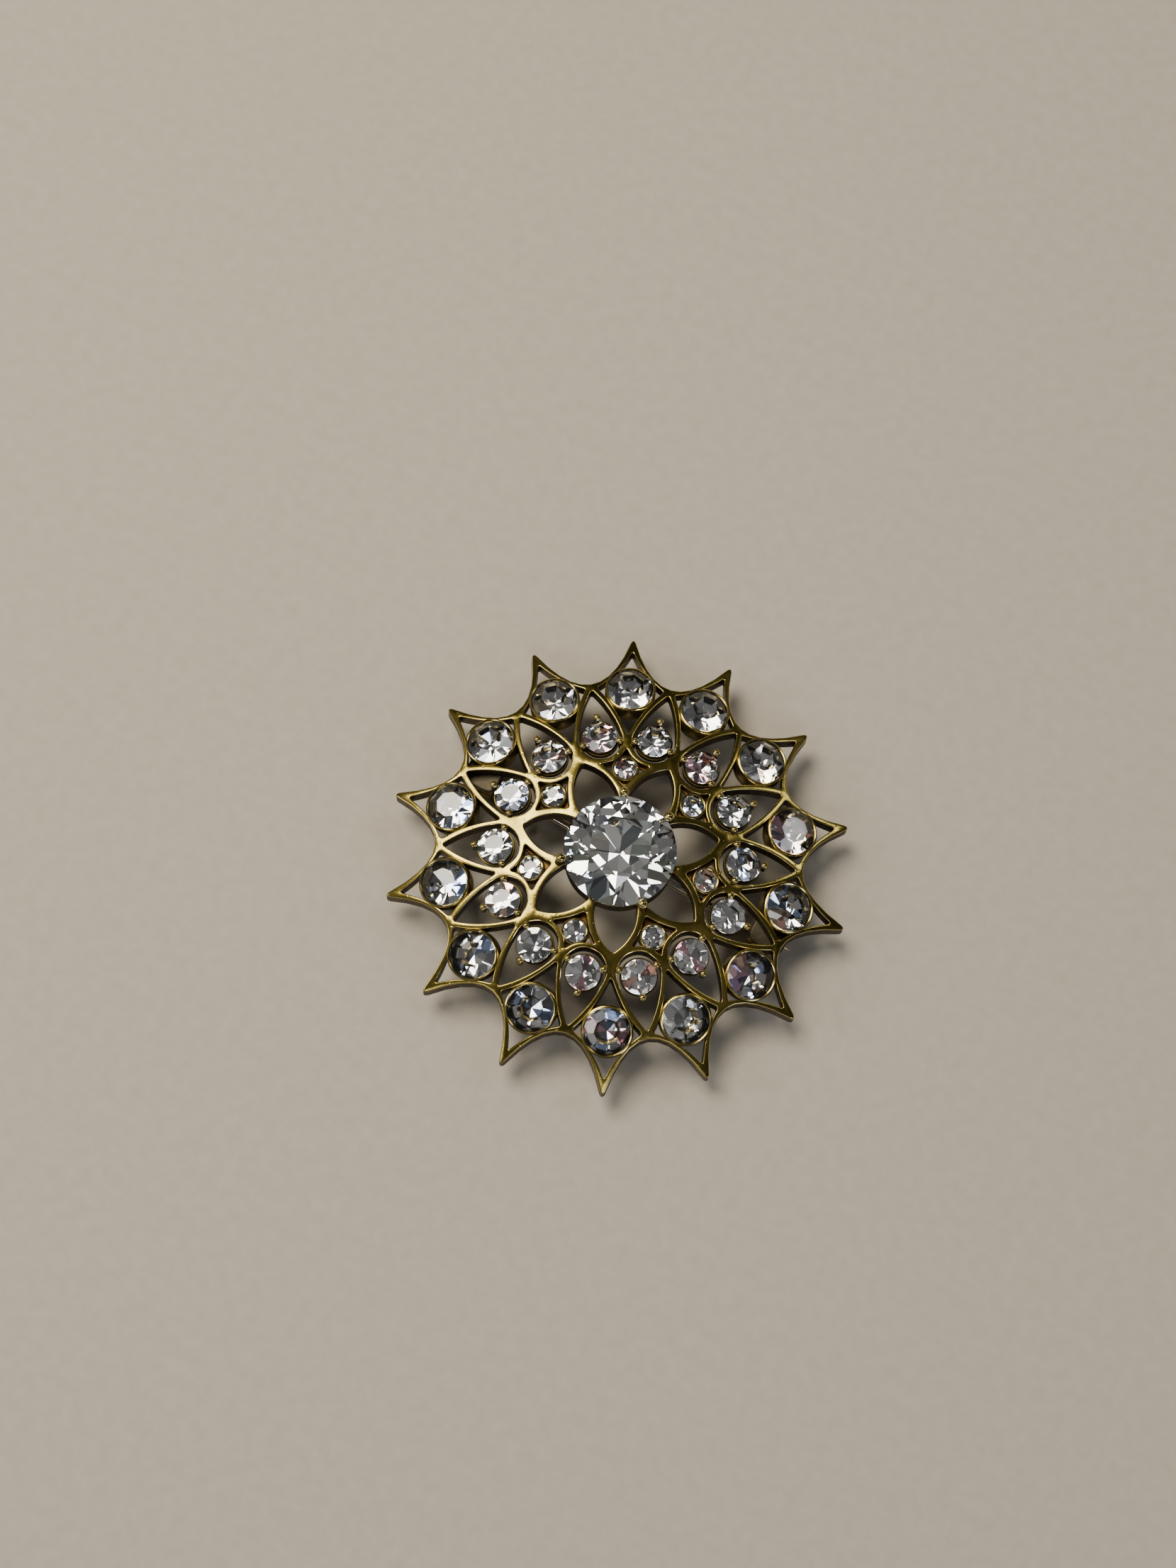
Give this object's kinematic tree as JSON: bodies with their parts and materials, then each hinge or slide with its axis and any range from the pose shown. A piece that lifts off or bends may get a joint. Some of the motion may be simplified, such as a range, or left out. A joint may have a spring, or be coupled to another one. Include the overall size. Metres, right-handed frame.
{
  "type": "brooch",
  "caption": "Round domed openwork star brooch in antique gold, set with clear stones, with a hinged pin and a turning safety catch on its back.",
  "frame": {"origin": "on the brooch's axis, in the plane of the hinge's feet, which are the lowest faces of the findings on its back", "axes": "+X along the pin from its hinge to its catch, +Y up as the brooch is worn, +Z out of its front"},
  "size_m": [0.041, 0.042, 0.0094],
  "materials": {
    "antique_gold": "cast alloy, gold plated and darkened in its recesses, rubbed bright on its ridges",
    "clear_zirconia": "colourless round brilliant, polished, open at its back",
    "foiled_crystal": "colourless machine-cut glass chaton with a silvered back",
    "gilt_findings": "stamped brass, thinly gold plated, dulled by handling",
    "pin_wire": "drawn steel wire, pale gilt wash worn through at its point"
  },
  "bodies": {
    "brooch": {"openwork_frame": "antique_gold", "centre_stone": "clear_zirconia", "outer_stone_01": "foiled_crystal", "outer_stone_02": "foiled_crystal", "outer_stone_03": "foiled_crystal", "outer_stone_04": "foiled_crystal", "outer_stone_05": "foiled_crystal", "outer_stone_06": "foiled_crystal", "outer_stone_07": "foiled_crystal", "outer_stone_08": "foiled_crystal", "outer_stone_09": "foiled_crystal", "outer_stone_10": "foiled_crystal", "outer_stone_11": "foiled_crystal", "outer_stone_12": "foiled_crystal", "outer_stone_13": "foiled_crystal", "outer_stone_14": "foiled_crystal", "medium_stone_01": "foiled_crystal", "medium_stone_02": "foiled_crystal", "medium_stone_03": "foiled_crystal", "medium_stone_04": "foiled_crystal", "medium_stone_05": "foiled_crystal", "medium_stone_06": "foiled_crystal", "medium_stone_07": "foiled_crystal", "medium_stone_08": "foiled_crystal", "medium_stone_09": "foiled_crystal", "medium_stone_10": "foiled_crystal", "medium_stone_11": "foiled_crystal", "medium_stone_12": "foiled_crystal", "medium_stone_13": "foiled_crystal", "medium_stone_14": "foiled_crystal", "small_stone_01": "foiled_crystal", "small_stone_02": "foiled_crystal", "small_stone_03": "foiled_crystal", "small_stone_04": "foiled_crystal", "small_stone_05": "foiled_crystal", "small_stone_06": "foiled_crystal", "small_stone_07": "foiled_crystal", "hinge_bracket": "gilt_findings", "hinge_rivet": "pin_wire", "catch_body": "gilt_findings"},
    "pin": {"pin_stem": "pin_wire"},
    "rotor": {"catch_rotor": "gilt_findings"}
  },
  "joints": [
    {"name": "pin_hinge", "type": "hinge", "parent": "brooch", "child": "pin", "pos_m": [-0.0146, 0.001, 0.0019], "axis": [0, 1, 0], "range_deg": [0, 100]},
    {"name": "catch_turn", "type": "hinge", "parent": "brooch", "child": "rotor", "pos_m": [0.015, 0.001, 0.0019], "axis": [1, 0, 0], "range_deg": [0, 120]}
  ]
}
